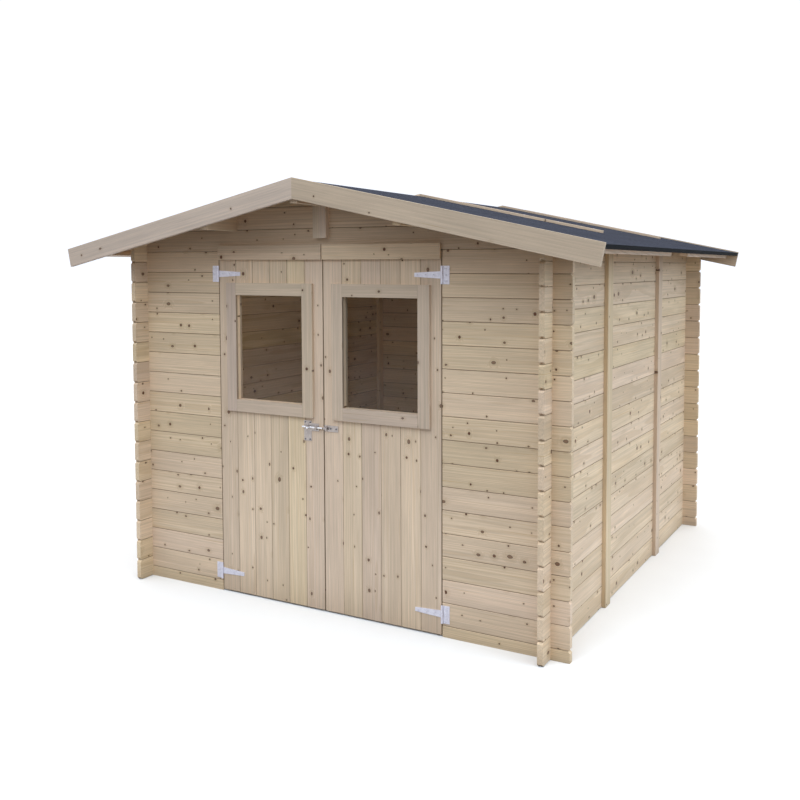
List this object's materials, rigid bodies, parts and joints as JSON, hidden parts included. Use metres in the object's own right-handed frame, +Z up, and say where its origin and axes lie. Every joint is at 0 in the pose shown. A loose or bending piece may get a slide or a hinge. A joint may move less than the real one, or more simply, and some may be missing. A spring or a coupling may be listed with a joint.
{
  "type": "garden shed",
  "caption": "Log-built garden shed with interlocked corners, a glazed double door that opens outwards, a sliding bolt and a felted gable roof.",
  "frame": {"origin": "on the ground, under the middle of the shed's roof", "axes": "+Z up, the double door faces -Y, +X to the right seen from the front"},
  "size_m": [3.16, 2.876, 2.2385],
  "materials": {
    "side_logs": "planed, unpainted",
    "end_logs": "planed, unpainted",
    "roof_boards": "planed, unpainted",
    "door_boards": "planed, unpainted",
    "bargeboards": "planed, unpainted",
    "planed_wood": "planed, unpainted",
    "window_glass": "clear",
    "zinc_steel": "satin zinc plate",
    "roof_felt": "fine mineral grit, matt"
  },
  "bodies": {
    "shed": {"front_wall_left": "end_logs", "front_wall_right": "end_logs", "front_gable": "end_logs", "back_wall": "end_logs", "left_wall": "side_logs", "right_wall": "side_logs", "ridge_purlin": "planed_wood", "left_purlin": "planed_wood", "right_purlin": "planed_wood", "roof_boards_left": "roof_boards", "roof_boards_right": "roof_boards", "roof_felt": "roof_felt", "felt_battens_left": "planed_wood", "felt_battens_right": "planed_wood", "eave_lath_left": "planed_wood", "eave_lath_right": "planed_wood", "bargeboard_front_left": "bargeboards", "bargeboard_front_right": "bargeboards", "bargeboard_back_left": "bargeboards", "bargeboard_back_right": "bargeboards", "storm_battens_left": "planed_wood", "storm_battens_right": "planed_wood", "corner_battens": "planed_wood", "gable_board_front": "planed_wood", "gable_board_back": "planed_wood", "door_posts": "planed_wood", "door_head": "planed_wood", "door_sill": "planed_wood", "hinge_plates_left": "zinc_steel", "hinge_plates_right": "zinc_steel"},
    "left_leaf": {"left_door_boards": "door_boards", "left_door_header": "planed_wood", "left_window_frame": "planed_wood", "left_door_ledges": "planed_wood", "left_window_sash": "planed_wood", "left_window_glass": "window_glass", "left_hinge_straps": "zinc_steel", "latch_plate": "zinc_steel"},
    "right_leaf": {"right_door_boards": "door_boards", "right_door_header": "planed_wood", "right_window_frame": "planed_wood", "right_door_ledges": "planed_wood", "right_window_sash": "planed_wood", "right_window_glass": "window_glass", "right_hinge_straps": "zinc_steel", "latch_keeper": "zinc_steel"},
    "bolt": {"latch_bolt": "zinc_steel"}
  },
  "joints": [
    {"name": "left_leaf_hinge", "type": "hinge", "parent": "shed", "child": "left_leaf", "pos_m": [-0.694, -1.1923, 0.113], "axis": [0, 0, -1], "range_deg": [0, 120]},
    {"name": "right_leaf_hinge", "type": "hinge", "parent": "shed", "child": "right_leaf", "pos_m": [0.694, -1.1923, 0.113], "axis": [0, 0, 1], "range_deg": [0, 120]},
    {"name": "bolt_slide", "type": "slide", "parent": "left_leaf", "child": "bolt", "axis": [1, 0, 0], "range_m": [0, 0.028]}
  ]
}
